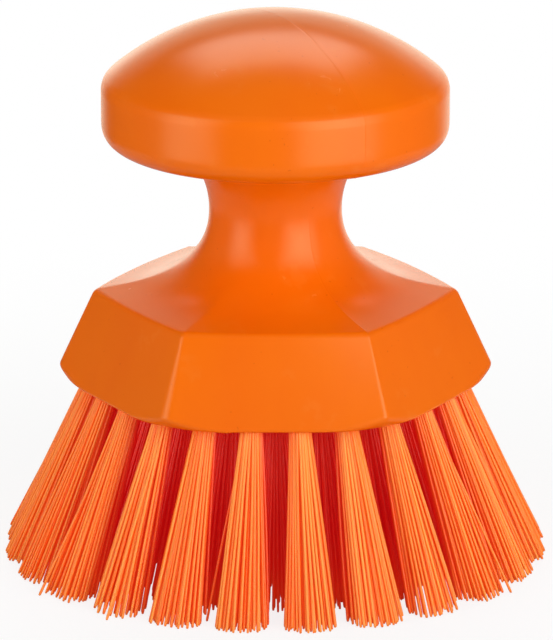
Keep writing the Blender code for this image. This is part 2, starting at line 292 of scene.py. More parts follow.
@dataclass(frozen=True)
class MouldedPlastic:
    """Orange polypropylene with a satin gloss, faint flow marks and a few rubbed patches."""

    colour: Colour = (0.945, 0.165, 0.001)
    deep_colour: Colour = (0.92, 0.146, 0.001)
    rubbed_colour: Colour = (0.95, 0.190, 0.012)
    speck_colour: Colour = (0.62, 0.075, 0.001)
    flow_marks: Marks = Marks(22 * MM, 3.0, 0.30, 0.72)
    flow_stretch: Triple = (1.0, 1.0, 0.45)
    rubbed_areas: Marks = Marks(9 * MM, 1.0, 0.60, 0.70)
    rubbed_marks: Marks = Marks(2.6 * MM, 2.0, 0.47, 0.60)
    rubbed_share: float = 0.3
    specks: Marks = Marks(0.7 * MM, 0.0, 0.81, 0.85)
    speckled_areas: Marks = Marks(11 * MM, 0.0, 0.50, 0.62)
    speck_share: float = 0.35
    specular_tint: Colour = (1.0, 1.0, 0.60)
    refraction: float = 1.49
    least_roughness: float = 0.22
    handled_roughness: float = 0.04
    handled_size: float = 5 * MM
    rubbed_roughness: float = 0.03
    peel_depth: float = 0.001 * MM
    peel_sizes: Pair = (1.4 * MM, 0.35 * MM)
    fine_peel: float = 0.35

    def material(self) -> bpy.types.Material:
        """Build the moulding's material."""
        graph = ShaderGraph(bpy.data.materials.new("orange_moulding"))
        flow = graph.marks(self.flow_marks, graph.stretched(self.flow_stretch))
        base = graph.mix(flow, self.deep_colour, self.colour)
        patches = graph.marks(self.rubbed_areas) * graph.marks(self.rubbed_marks)
        base = graph.mix(patches * self.rubbed_share, base, self.rubbed_colour)
        specks = graph.marks(self.specks) * graph.marks(self.speckled_areas)
        base = graph.mix(specks * self.speck_share, base, self.speck_colour)
        handled = graph.noise(self.handled_size, 4.0) * self.handled_roughness
        coarse, fine = (graph.noise(size, 1.0) for size in self.peel_sizes)
        return graph.finish({
            "Base Color": base,
            "Roughness": handled + self.least_roughness + patches * self.rubbed_roughness,
            "Normal": graph.bump(coarse + fine * self.fine_peel, self.peel_depth),
            "Specular Tint": (*self.specular_tint, 1.0),
            "IOR": self.refraction,
        })


@dataclass(frozen=True)
class FilamentPlastic:
    """Red-orange polyester filament, translucent, with a drawn gloss along its length.

    Enclosed filaments are painted deeper red than exposed ones. This painted shade stands in for
    light that reaches them only through many filaments. Each filament also has a faint painted red
    glow in its emission that stands in for that passed light.
    """

    colour: Colour = (0.985, 0.175, 0.005)
    pale_colour: Colour = (0.99, 0.360, 0.045)
    painted_shade_colour: Colour = (0.90, 0.045, 0.010)
    painted_glow_colour: Colour = (1.0, 0.090, 0.015)
    painted_shade_glow_colour: Colour = (0.60, 0.006, 0.015)
    painted_glow_strength: float = 0.14
    least_roughness: float = 0.28
    streak_roughness: float = 0.12
    streak_size: float = 0.5 * MM
    streak_stretch: Triple = (1.0, 1.0, 0.05)
    refraction: float = 1.55

    def material(self) -> bpy.types.Material:
        """Build the filaments' material: each one's tone from its shade, and its painted shade and glow
        from its exposure.
        """
        graph = ShaderGraph(bpy.data.materials.new("orange_filament"))
        shade = graph.node("ShaderNodeAttribute", {"attribute_name": "shade"}, {}, "Fac")
        exposure = graph.node("ShaderNodeAttribute", {"attribute_name": "exposure"}, {}, "Fac")
        open_colour = graph.mix(shade, self.colour, self.pale_colour)
        streaks = graph.noise(self.streak_size, 2.0, graph.stretched(self.streak_stretch))
        return graph.finish({
            # Painted shade: enclosed filaments take the deep red colour in place of their own tone
            "Base Color": graph.mix(exposure, self.painted_shade_colour, open_colour),
            "Roughness": streaks * self.streak_roughness + self.least_roughness,
            # Painted glow: a faint red emission on every filament, deeper red where enclosed, standing
            # in for passed light
            "Emission Color": graph.mix(exposure, self.painted_shade_glow_colour, self.painted_glow_colour),
            "Emission Strength": self.painted_glow_strength,
            "IOR": self.refraction,
        })


@dataclass(frozen=True)
class DrawnWire:
    """Drawn stainless wire, with a fine grain."""

    colour: Colour = (0.58, 0.57, 0.55)
    bright_colour: Colour = (0.70, 0.69, 0.67)
    least_roughness: float = 0.32
    grain_roughness: float = 0.2
    grain_size: float = 0.12 * MM
    grain_depth: float = 0.002 * MM

    def material(self) -> bpy.types.Material:
        """Build the wire's material."""
        graph = ShaderGraph(bpy.data.materials.new("anchor_steel"))
        grain = graph.noise(self.grain_size, 3.0)
        return graph.finish({
            "Base Color": graph.mix(grain, self.colour, self.bright_colour),
            "Roughness": grain * self.grain_roughness + self.least_roughness,
            "Metallic": 1.0,
            "Normal": graph.bump(grain, self.grain_depth),
        })


# The tufts' rows


class Row(Enum):
    """A ring of tufts: how many it has, and the azimuth of its first in degrees."""

    INNER = (5, 36.0)
    THIRD = (12, 15.0)
    SECOND = (18, 0.0)
    OUTER = (24, 7.5)


@dataclass(frozen=True)
class Seat:
    """Where one tuft is set: its hole's mouth in the underside, and the lean from there to its tips."""

    name: str
    exposed: bool
    azimuth: float
    mouth_radius: float
    tip_radius: float
    mouth_z: float

    @property
    def axis(self) -> Array:
        """Direction up the hole, in the tuft's frame of outwards, sideways and up."""
        lean = np.array([self.mouth_radius - self.tip_radius, 0.0, self.mouth_z])
        return lean / np.linalg.norm(lean)

    @property
    def across(self) -> Array:
        """Direction across the hole, away from the brush's middle."""
        axis = self.axis
        return np.array([axis[2], 0.0, -axis[0]])

    def to_world(self, points: Array) -> Array:
        """Carry points from the tuft's frame, whose zero is the mouth's centre, into the world."""
        sine = math.sin(self.azimuth)
        cosine = math.cos(self.azimuth)
        turn = np.array([[sine, -cosine, 0.0], [cosine, sine, 0.0], [0.0, 0.0, 1.0]])
        mouth = np.array([self.mouth_radius, 0.0, self.mouth_z])
        return points @ turn + mouth @ turn


# The moulding


@dataclass
class Moulding:
    """The handle: knob, neck and hexagonal block in one, with a blind hole for each tuft."""

    underside_z: float = 36.25 * MM
    roof_edge_z: float = 54.45 * MM
    neck_foot_z: float = 71.50 * MM
    knob_underside_z: float = 84.37 * MM
    knob_rim_z: float = 96.02 * MM
    roof_corner_radius: float = 36.6 * MM
    skirt_flare: float = math.radians(25.8)
    turned_edge_radius: float = 41.4 * MM
    turned_edge_slope: float = math.radians(50.0)
    turned_edge_blend: float = 1.6 * MM
    lower_edge_round: float = 0.7 * MM
    roof_edge_round: float = 2.0 * MM
    facet_crown: float = 1.2 * MM
    least_crown: float = 0.01 * MM
    corner_round_top: float = 1.3 * MM
    corner_round_bottom: float = 3.6 * MM
    parting_corner_share: float = 0.45
    ridge_round: float = 8.0 * MM
    roof_edge_slope: float = math.radians(9.9)
    roof_edge_pull: float = 8.65 * MM
    roof_neck_pull: float = 13.77 * MM
    hexagon_fades_in: float = 0.8 * MM
    hexagon_full_at: float = 16.5 * MM
    neck_radius: float = 13.34 * MM
    fillet_width: float = 9.0 * MM
    knob_radius: float = 34.85 * MM
    knob_edge_width: float = 7.9 * MM
    knob_edge_height: float = 5.5 * MM
    knob_edge_fullness: float = 2.57
    rim_round: float = 4.1 * MM
    dome_radius: float = 51.9 * MM
    hole_radius: float = 2.6 * MM
    hole_depth: float = 12.0 * MM
    hole_sides: int = 24
    hole_to_skirt: float = 0.9 * MM
    hole_mouth: tuple[Pair, ...] = ((0.02, 0.0), (0.04, 0.0), (0.08, 0.03), (0.13, 0.12), (0.15, 0.26))
    hole_cone: Pair = (1.5, 0.6)
    hole_point: float = 0.25 * MM
    pole_lift: float = 0.00001 * MM
    flat_margin: float = 0.02 * MM
    corner_columns: Numbers = (0.0, 0.07, 0.14, 0.24, 0.38, 0.56, 0.80, 1.10, 1.45, 1.85, 2.35, 3.0)
    corner_columns_fit: float = 7.0 * MM
    facet_columns: int = 15
    half_sector: float = math.radians(30.0)
    parting_azimuth: float = math.radians(30.0)
    parting_bead: float = 0.020 * MM
    parting_bead_width: float = 0.13 * MM
    parting_crease: float = 0.030 * MM
    parting_crease_reach: float = 1.6 * MM
    rim_line: float = 0.035 * MM
    rim_line_width: float = 0.33 * MM
    rim_line_angle: float = math.radians(28.0)
    ripple_depth: float = 0.012 * MM
    ripple_waves: int = 16
    ripple_lengths: Pair = (9 * MM, 26 * MM)
    ripple_seed: int = 11
    nib_azimuth: float = math.radians(-14.5)
    nib_size: Triple = (0.75 * MM, 0.45 * MM, 0.40 * MM)
    finish: MouldedPlastic = field(default_factory=MouldedPlastic)

    @property
    def skirt_corner_radius(self) -> float:
        """Radius of the skirt's corners where they would meet the underside."""
        drop = self.roof_edge_z - self.underside_z
        return self.roof_corner_radius + drop * math.tan(self.skirt_flare)

    @property
    def underside_inradius(self) -> float:
        """Distance from the axis to the nearest part of the underside's edge."""
        return min(self.skirt_corner_radius * math.cos(self.half_sector), self.turned_edge_radius)

    def knob_profile(self) -> Array:
        """Radius and height down the knob: a dome, its rim, a straight side and a full lower edge.

        The lower edge is a quarter of a superellipse, |x / width|^n + |z / height|^n = 1.
        """
        rim_radius = self.knob_radius - self.rim_round
        rise = math.sqrt((self.dome_radius - self.rim_round) ** 2 - rim_radius ** 2)
        dome_centre_z = self.knob_rim_z - rise
        rim_angle = math.atan2(self.knob_rim_z - dome_centre_z, rim_radius)
        dome = arc((0.0, dome_centre_z), (self.dome_radius,) * 2, math.pi / 2, rim_angle, count=42)
        rim = arc((rim_radius, self.knob_rim_z), (self.rim_round,) * 2, rim_angle, 0.0, count=28)
        edge_z = self.knob_underside_z + self.knob_edge_height
        side = np.linspace((self.knob_radius, self.knob_rim_z), (self.knob_radius, edge_z), 5)
        turn = np.linspace(0.0, math.pi / 2, 22)
        power = 2.0 / self.knob_edge_fullness
        inwards = self.knob_edge_width * (1.0 - np.cos(turn).clip(0.0) ** power)
        downwards = self.knob_edge_height * np.sin(turn) ** power
        edge = np.stack([self.knob_radius - inwards, edge_z - downwards], axis=-1)
        fillet_radius = self.neck_radius + self.fillet_width
        shelf = np.linspace(edge[-1], (fillet_radius, self.knob_underside_z), 4)
        radii = (self.fillet_width, self.knob_underside_z - self.neck_foot_z)
        fillet = arc((fillet_radius, self.neck_foot_z), radii, math.pi / 2, math.pi, count=26)
        return np.concatenate([dome[1:], rim[1:], side[1:], edge[1:], shelf[1:], fillet[1:-1]])

    def roof_profile(self) -> Array:
        """Radius and height down a roof ridge: a cubic Bezier curve, then the edge's round."""
        slope = np.array([-math.cos(self.roof_edge_slope), math.sin(self.roof_edge_slope)])
        foot = np.array([self.neck_radius, self.neck_foot_z])
        edge = np.array([self.roof_corner_radius, self.roof_edge_z])
        controls = np.stack([
            foot,
            foot - np.array([0.0, self.roof_neck_pull]),
            edge + self.roof_edge_pull * slope,
            edge,
        ])
        roof_angle = math.pi / 2 - self.roof_edge_slope
        reach = self.roof_edge_round / math.cos((roof_angle - self.skirt_flare) / 2)
        middle = (roof_angle + self.skirt_flare) / 2
        centre = edge - reach * np.array([math.cos(middle), math.sin(middle)])
        radii = (self.roof_edge_round,) * 2
        rounded = arc(tuple(centre), radii, roof_angle, self.skirt_flare, count=12)
        t = np.linspace(0.0, 1.0, 70)[:, None]
        weights = [(1 - t) ** 3, 3 * (1 - t) ** 2 * t, 3 * (1 - t) * t ** 2, t ** 3]
        ridge = np.concatenate(weights, axis=1) @ controls
        return np.concatenate([ridge[ridge[:, 0] < rounded[0, 0]], rounded])

    def skirt_profile(self) -> Array:
        """Corner radius and height down the skirt, closest together where its lower edge turns in."""
        cone_start = (self.skirt_corner_radius - self.turned_edge_radius) / (
            math.tan(self.skirt_flare) + math.tan(self.turned_edge_slope)
        ) + self.turned_edge_blend
        top = self.roof_edge_z - self.roof_edge_round - self.underside_z
        turn = np.linspace(math.pi / 2, 0.0, 9)
        heights = np.concatenate([
            np.linspace(top, cone_start, 16)[1:],
            np.linspace(cone_start, self.lower_edge_round, 14)[1:],
            self.lower_edge_round * (1.0 - np.cos(turn))[1:],
        ])
        radii = self.skirt_corner_radius - heights * math.tan(self.skirt_flare)
        return np.stack([radii, self.underside_z + heights], axis=-1)

    def columns(self, radii: Array) -> Array:
        """Azimuths of the grid's columns in each row, crowded round the block's corners.

        Beside a corner they lie at fixed distances in metres, so the parting line and the rounded
        corners keep their width, and from there to the facet's middle they are evenly spaced.
        """
        half = radii[:, None] * self.half_sector
        near = np.array(self.corner_columns) * MM * np.minimum(1.0, half / self.corner_columns_fit)
        last = near[:, -1:]
        count = self.facet_columns
        far = last + (half - last) * np.arange(1, count) / count
        offsets = np.concatenate([near, far], axis=1) / radii[:, None]
        middle = np.full((len(radii), 1), self.half_sector)
        sector = np.concatenate([-offsets[:, :0:-1], offsets, middle], axis=1)
        starts = self.half_sector * (1 + 2 * np.arange(6))
        return (starts[None, :, None] + sector[:, None, :]).reshape(len(radii), -1)

    def hexagon(self, corner_radius: Array, height: Array, azimuth: Array) -> Array:
        """Distance from the axis to a hexagon with crowned facets and rounded corners.

        A facet is an arc that stands out from its chord by the crown, most at the roof's edge. From
        the axis a circle of radius R, centred c away, lies at c cos(a) + sqrt(R^2 - (c sin(a))^2),
        where a is the angle from its centre. A corner is a smaller circle that touches both arcs.

        Args:
            corner_radius: Distance to the sharp corner.
            height: Height of the section.
            azimuth: Where the distance is wanted.

        Returns:
            The distance.
        """
        sector = np.floor(azimuth / (2 * self.half_sector)).astype(int)
        from_corner = np.abs(azimuth - (2 * sector + 1) * self.half_sector)
        down = np.clip((self.roof_edge_z - height) / (self.roof_edge_z - self.underside_z), 0.0, 1.0)
        up = np.clip((height - self.roof_edge_z) / (self.neck_foot_z - self.roof_edge_z), 0.0, 1.0)
        rounded = self.corner_round_top + (self.corner_round_bottom - self.corner_round_top) * down
        rounded = rounded + (self.ridge_round - self.corner_round_top) * up
        rounded = np.where(sector % 3 == 0, rounded * self.parting_corner_share, rounded)
        cosine = math.cos(self.half_sector)
        sine = math.sin(self.half_sector)
        crown = self.facet_crown * (1.0 - down) + self.least_crown
        bend = ((corner_radius * sine) ** 2 + crown ** 2) / (2.0 * crown)
        behind = bend - corner_radius * cosine - crown
        from_middle = self.half_sector - from_corner
        facet = np.sqrt(bend ** 2 - (behind * np.sin(from_middle)) ** 2) - behind * np.cos(from_middle)
        centre = np.sqrt((bend - rounded) ** 2 - (behind * sine) ** 2) - behind * cosine
        chord = np.sqrt(np.maximum(rounded ** 2 - (centre * np.sin(from_corner)) ** 2, 0.0))
        corner = centre * np.cos(from_corner) + chord
        outwards = bend * (centre + behind * cosine) / (bend - rounded) - behind * cosine
        touch = np.arctan2(behind * sine * rounded / (bend - rounded), outwards)
        return np.where(from_corner >= touch, facet, corner)

    def turned_down(self, radius: Array, height: Array) -> Array:
        """Limit the skirt's radius to the turned cone, smoothly, and round it into the underside.

        The smooth minimum of a and b is min(a, b) - o^2 w / 4, with o = max(w - |a - b|, 0) / w.
        """
        above = height - self.underside_z
        cone = self.turned_edge_radius + above * math.tan(self.turned_edge_slope)
        blend = self.turned_edge_blend
        overlap = np.maximum(blend - np.abs(radius - cone), 0.0) / blend
        limited = np.minimum(radius, cone) - overlap ** 2 * blend / 4
        left = np.maximum(self.lower_edge_round - above, 0.0)
        return limited - self.lower_edge_round + np.sqrt(self.lower_edge_round ** 2 - left ** 2)

    def side_grid(self) -> Array:
        """The handle's whole outside, on a grid of profile rows and azimuth columns.

        A point is (r sin a, -r cos a, z). r is the profile's radius on the knob and neck, and below
        the neck's foot it passes from that circle to the rounded hexagon.

        Returns:
            Points, by row, column and axis.
        """
        profile = np.concatenate([self.knob_profile(), self.roof_profile(), self.skirt_profile()])
        radius = profile[:, :1]
        height = profile[:, 1:]
        azimuth = self.columns(profile[:, 0])
        start = self.neck_radius + self.hexagon_fades_in
        share = smoothstep((radius - start) / (self.hexagon_full_at - self.hexagon_fades_in))
        hexagon = self.hexagon(radius, height, azimuth)
        block = self.turned_down(radius + (hexagon - radius) * share, height)
        distance = np.where(height > self.neck_foot_z, radius, block)
        level = np.broadcast_to(height, azimuth.shape)
        return np.stack([distance * np.sin(azimuth), -distance * np.cos(azimuth), level], axis=-1)

    def relief(self, points: Array) -> Array:
        """Height of the fine relief over the surface: parting and rim lines, moulding ripple and a nib.

        The parting line, at distance d from the mould's plane, is a bead exp(-(d / w)^2) on a crease
        exp(-|d| / reach). The line round the knob's rim is a bead too. The ripple is a sum of plane
        waves in random directions.
        """
        across = np.array([math.cos(self.parting_azimuth), math.sin(self.parting_azimuth), 0.0])
        distance = points @ across
        relief = self.parting_bead * np.exp(-(distance / self.parting_bead_width) ** 2)
        relief += self.parting_crease * np.exp(-np.abs(distance) / self.parting_crease_reach)
        rim_line_z = self.knob_rim_z + self.rim_round * math.sin(self.rim_line_angle)
        beyond = points[..., 2] - rim_line_z
        relief += self.rim_line * np.exp(-(beyond / self.rim_line_width) ** 2)
        random = np.random.default_rng(self.ripple_seed)
        waves = random.normal(size=(self.ripple_waves, 3))
        lengths = random.uniform(*self.ripple_lengths, size=self.ripple_waves)
        waves *= (2 * math.pi / lengths / np.linalg.norm(waves, axis=1))[:, None]
        phases = random.uniform(0.0, 2 * math.pi, size=self.ripple_waves)
        ripple = np.sin(points @ waves.T + phases).sum(axis=-1) / math.sqrt(self.ripple_waves)
        relief += self.ripple_depth * ripple
        relief *= smoothstep((points[..., 2] - self.underside_z) / self.lower_edge_round)
        azimuth = self.nib_azimuth
        edge = self.underside_inradius / math.cos(azimuth)
        nib = np.array([edge * math.sin(azimuth), -edge * math.cos(azimuth), self.underside_z])
        width, height, depth = self.nib_size
        offset = (points - nib) / np.array([width, width, height])
        return relief + depth * np.exp(-(offset ** 2).sum(axis=-1))

    def with_relief(self, grid: Array) -> Array:
        """Move each point of the grid along its normal by the fine relief there."""
        down = np.gradient(grid, axis=0)
        around = np.roll(grid, -1, axis=1) - np.roll(grid, 1, axis=1)
        normal = np.cross(down, around)
        normal /= np.linalg.norm(normal, axis=-1, keepdims=True)
        moved = grid + normal * self.relief(grid)[..., None]
        moved[-1, :, 2] = self.underside_z
        return moved

    def hole_rings(self, seats: list[Seat]) -> Array:
        """Each hole as level rings: a flat collar, a rounded mouth, the wall and the end's cone.

        A ring is the ellipse that the leaning hole cuts from a level plane, moved along its axis.
        The section's rows say in millimetres how far in and how deep each ring lies.

        Returns:
            Points, by seat, ring, step round the ring and axis.
        """
        wall_in = self.hole_mouth[-1][0]
        end = self.hole_depth / MM
        cone_in, cone_deep = self.hole_cone
        wall = ((wall_in, 0.5 * end), (wall_in, end), (cone_in, end + cone_deep))
        section = np.array([*self.hole_mouth, *wall]) * MM
        radii = self.hole_radius - section[:, 0]
        depths = section[:, 1]
        angle = turns(self.hole_sides)
        holes = []
        for seat in seats:
            axis = seat.axis
            level = np.stack([np.cos(angle) / axis[2], np.sin(angle), np.zeros_like(angle)], axis=-1)
            rings = radii[:, None, None] * level + (depths / axis[2])[:, None, None] * axis
            holes.append(seat.to_world(rings))
        return np.stack(holes)

    def underside(self, outline: Array, holes: Array) -> Array:
        """Triangles of the flat underside between its outline and the holes' collars.

        Args:
            outline: Points of the handle's last ring.
            holes: Points of each hole's collar.

        Returns:
            Triangles that face down, numbered through the outline and then the collars.
        """
        points = np.concatenate([outline[:, :2], holes[..., :2].reshape(-1, 2)])
        loops = [numbered(outline), *numbered(holes, len(outline))]
        edges = np.concatenate([np.stack([loop, np.roll(loop, -1)], axis=-1) for loop in loops])
        corners = [Vector(point) for point in points.tolist()]
        found = delaunay_2d_cdt(corners, edges.tolist(), [], INSIDE_LOOPS, JOIN_DISTANCE)
        back = np.array([sources[0] for sources in found[3]])
        triangles = back[np.array(found[2])]
        owner = np.where(triangles < len(outline), -1, (triangles - len(outline)) // holes.shape[1])
        in_hole = (owner[:, 0] >= 0) & (owner == owner[:, :1]).all(axis=1)
        triangles = triangles[~in_hole]
        corner = points[triangles]
        turn = np.cross(corner[:, 1] - corner[:, 0], corner[:, 2] - corner[:, 0])
        return np.where(turn[:, None] > 0, triangles[:, ::-1], triangles)

    def build(self, seats: list[Seat]) -> bpy.types.Object:
        """Make the handle and let it stand for its node."""
        side = self.with_relief(self.side_grid())
        inset = side[-1] * (1.0 - self.flat_margin / self.underside_inradius)
        inset[:, 2] = self.underside_z
        side = np.concatenate([side, inset[None]])
        holes = self.hole_rings(seats)
        ends = holes[:, -1].mean(axis=1) + np.array([0.0, 0.0, self.hole_point])
        pole = np.array([[0.0, 0.0, side[0, :, 2].mean() + self.pole_lift]])
        vertices = np.concatenate([side.reshape(-1, 3), holes.reshape(-1, 3), ends, pole])
        side_index = numbered(side)
        hole_index = numbered(holes, side_index.size)
        end_index = numbered(ends, side_index.size + hole_index.size)
        flat_index = np.concatenate([side_index[-1], hole_index[:, 0].ravel()])
        faces = [
            closed_strips(side_index),
            closed_strips(hole_index)[:, ::-1],
            fans(end_index, hole_index[:, -1]),
            fans(np.array(len(vertices) - 1), side_index[0]),
            flat_index[self.underside(inset, holes[:, 0])],
        ]
        piece = add_piece("moulded_handle", vertices, faces, self.finish.material())
        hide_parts("handle_block")
        return piece


# The filaments


@dataclass
class TuftField:
    """All tufts: four rings of leaning pencils of filament, anchored in the moulding's holes."""

    moulding: Moulding
    inner_row_radius: float = 9.0 * MM
    inner_tip_radius: float = 12.7 * MM
    outer_tip_radius: float = 50.8 * MM
    bundle_radius: float = 2.3 * MM
    fan_radii: Pair = (4.4 * MM, 5.6 * MM)
    fan_range: Pair = (0.96, 1.04)
    inner_fan: float = 1.12
    rim_crowding: float = 0.25
    filament_radius: float = 0.28 * MM
    thickness_range: Pair = (0.93, 1.07)
    filament_pitch: float = 0.44 * MM
    rows_each_way: int = 8
    start_scatter: float = 0.03 * MM
    end_scatter: float = 0.10 * MM
    stray_share: float = 0.045
    stray_scatter: float = 1.8 * MM
    bow_scatter: float = 0.12 * MM
    tip_scatter: float = 0.06 * MM
    tuft_lift: float = 0.12 * MM
    short_share: float = 0.04
    short_by: Pair = (0.3 * MM, 1.4 * MM)
    ring_shares: Numbers = (-0.30, -0.02, 0.12, 0.32, 0.55, 0.78, 0.985, 0.997)
    # How lit each ring and the bundle's sides are painted, in the filaments' painted shade
    ring_light: Numbers = (0.0, 0.0, 0.0, 0.0, 0.0, 0.1, 0.5, 0.8)
    bundle_light: Pair = (0.55, 0.9)
    tip_taper: float = 0.82
    tip_point: float = 0.02 * MM
    shade_spread: Pair = (1.4, 1.4)
    first_seed: int = 1000
    sides: int = 6
    anchor_length: float = 5.5 * MM
    anchor_section: Pair = (0.18 * MM, 0.80 * MM)
    anchor_from_end: float = 1.2 * MM
    anchor_sides: int = 16
    filament_finish: FilamentPlastic = field(default_factory=FilamentPlastic)
    wire_finish: DrawnWire = field(default_factory=DrawnWire)

    def seats(self) -> list[Seat]:
        """Where every tuft sits: rows evenly spaced from the innermost to the one inside the skirt."""
        mouth_z = self.moulding.underside_z
        inradius = self.moulding.underside_inradius
        lean = math.atan2(self.outer_tip_radius - inradius, mouth_z)
        margin = self.moulding.hole_to_skirt + self.moulding.hole_radius / math.cos(lean)
        _, outer_first = Row.OUTER.value
        outer_row_radius = (inradius - margin) / math.cos(math.radians(outer_first))
        seats = []
        for row, share in zip(Row, np.linspace(0.0, 1.0, len(Row))):
            count, first = row.value
            mouth = self.inner_row_radius + (outer_row_radius - self.inner_row_radius) * share
            tip = self.inner_tip_radius + (self.outer_tip_radius - self.inner_tip_radius) * share
            for index in range(count):
                node = f"tuft_{row.name.lower()}_{index + 1:02d}"
                azimuth = math.radians(first + 360.0 * index / count)
                seats.append(Seat(node, row is Row.OUTER, azimuth, mouth, tip, mouth_z))
        return seats

    def places(self, seat: Seat, random: np.random.Generator) -> tuple[Array, Array]:
        """Where one tuft's filaments leave the hole and where they end, outwards and sideways.

        They stand in the hole in rows, each row set off by half a pitch. The fan is wider sideways
        than outwards, as the bundle is folded over its flat anchor. Its rim is its densest part: on
        each axis a share s in the hole ends at (1 + c) s - c s^3, where c is the crowding.

        Args:
            seat: The tuft's seat.
            random: The tuft's own source of chance.

        Returns:
            Both places, by filament and axis.
        """
        steps = np.arange(-self.rows_each_way, self.rows_each_way + 1)
        row, column = np.meshgrid(steps, steps, indexing="ij")
        lattice = np.stack([row * math.sqrt(0.75), column + 0.5 * (row % 2)], axis=-1).reshape(-1, 2)
        lattice = (lattice + random.uniform(-0.5, 0.5, size=2)) * self.filament_pitch
        inner_radius = self.bundle_radius - self.filament_radius
        start = lattice[np.linalg.norm(lattice, axis=1) < inner_radius]
        start = start + random.normal(scale=self.start_scatter, size=start.shape)
        scatter = random.normal(scale=self.end_scatter, size=start.shape)
        stray = random.uniform(size=len(start)) < self.stray_share
        scatter[stray] += random.normal(scale=self.stray_scatter, size=(stray.sum(), 2))
        fan = (np.array(self.fan_radii) - self.filament_radius) * random.uniform(*self.fan_range)
        if not seat.exposed:
            fan = fan * self.inner_fan
        share = start / inner_radius
        crowded = share * (1.0 + self.rim_crowding - self.rim_crowding * share ** 2)
        return start, crowded * fan + scatter

    def strands(self, seat: Seat, random: np.random.Generator) -> tuple[Array, Array, Array]:
        """One tuft's filaments, each a tube round its own path.

        Below the mouth a filament's distance from the tuft's axis grows evenly, with a slight bow
        f (1 - f), and its length brings its tip close to the plane that the brush stands on.

        Args:
            seat: The tuft's seat.
            random: The tuft's own source of chance.

        Returns:
            Points by filament, ring, side and axis, the tips' points by filament and axis, and how
            exposed to light each filament is at each ring, from 0 to 1, which sets its painted shade
            and glow.
        """
        axis = seat.axis
        across = seat.across
        start, end = self.places(seat, random)
        count = len(start)
        bow = random.normal(scale=self.bow_scatter, size=start.shape)
        tip_z = np.abs(random.normal(scale=self.tip_scatter, size=count))
        tip_z += random.uniform(0.0, self.tuft_lift)
        short = random.uniform(size=count) < self.short_share
        tip_z += np.where(short, random.uniform(*self.short_by, size=count), 0.0)

        end_points = end[:, :1] * across + end[:, 1:] * SIDEWAYS
        reach = (seat.mouth_z - tip_z + end_points[:, 2]) / axis[2]
        share = np.array(self.ring_shares)
        grown = np.clip(share, 0.0, 1.0)[None, :, None]
        lateral = start[:, None] + (end - start)[:, None] * grown
        lateral = lateral + bow[:, None] * 4.0 * grown * (1.0 - grown)
        path = lateral[..., :1] * across + lateral[..., 1:] * SIDEWAYS
        path = path - axis * (reach[:, None] * share)[..., None]

        thickness = self.filament_radius * random.uniform(*self.thickness_range, size=count)
        radius = np.repeat(thickness[:, None], len(share), axis=1)
        radius[:, -1] *= self.tip_taper
        turn = turns(self.sides)
        around = np.cos(turn)[:, None] * across + np.sin(turn)[:, None] * SIDEWAYS
        rings = path[:, :, None] + radius[:, :, None, None] * around
        tips = end_points - axis * (reach + self.tip_point)[:, None]
        # Painted shade mask: outer-row tufts are painted lit on their outer side, other rows painted as
        # shaded, tips painted more lit
        middle_light, outwards_light = self.bundle_light
        outwards = start[:, :1] / (self.bundle_radius - self.filament_radius)
        exposure = np.clip(middle_light + outwards_light * outwards, 0.0, 1.0) * seat.exposed
        exposure = exposure + (1.0 - exposure) * np.array(self.ring_light)
        return seat.to_world(rings), seat.to_world(tips), exposure

    def build_tuft(self, seat: Seat, number: int, material: bpy.types.Material) -> bpy.types.Object:
        """Make one tuft's filaments and let them stand for its node."""
        random = np.random.default_rng(self.first_seed + number)
        rings, tips, exposure = self.strands(seat, random)
        vertices, faces = capped_tubes(rings, rings[:, 0].mean(axis=1), tips)
        piece = add_piece(f"filaments_{seat.name}", vertices, faces, material)
        count = len(tips)
        shade = random.beta(*self.shade_spread, size=count)
        looks = {
            "shade": [np.repeat(shade, rings[0, ..., 0].size), shade, shade],
            # Painted shade mask on the caps: roots painted as fully shaded, tips as fully lit
            "exposure": [np.repeat(exposure, self.sides), np.zeros(count), np.ones(count)],
        }
        for name, values in looks.items():
            attribute = piece.data.attributes.new(name, "FLOAT", "POINT")
            attribute.data.foreach_set("value", np.concatenate(values).astype(np.float32))
        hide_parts(seat.name)
        return piece

    def build_anchors(self, seats: list[Seat]) -> bpy.types.Object:
        """Make the flat wire anchors, one across each hole's end, as rounded bars in one piece.

        A bar's section is |y / a|^4 + |z / b|^4 = 1, and it shrinks at both ends.
        """
        angle = turns(self.anchor_sides)
        circle = np.stack([np.cos(angle), np.sin(angle)])
        wide, tall = np.sign(circle) * np.abs(circle) ** 0.5 * np.array([self.anchor_section]).T
        along = np.array([0.5, 0.49, 0.47, 0.2, -0.2, -0.47, -0.49, -0.5]) * self.anchor_length
        scale = np.array([0.6, 0.85, 1.0, 1.0, 1.0, 1.0, 0.85, 0.6])
        depth = self.moulding.hole_depth - self.anchor_from_end
        bars = []
        for seat in seats:
            section = wide[:, None] * seat.across + tall[:, None] * seat.axis
            bar = scale[:, None, None] * section + along[:, None, None] * SIDEWAYS
            bars.append(seat.to_world(bar + depth * seat.axis))
        rings = np.stack(bars)
        vertices, faces = capped_tubes(rings, rings[:, 0].mean(axis=1), rings[:, -1].mean(axis=1))
        return add_piece("wire_anchors", vertices, faces, self.wire_finish.material())

    def build(self) -> list[bpy.types.Object]:
        """Make every tuft and the anchors."""
        material = self.filament_finish.material()
        seats = self.seats()
        pieces = [self.build_tuft(seat, number, material) for number, seat in enumerate(seats)]
        return pieces + [self.build_anchors(seats)]


# The studio


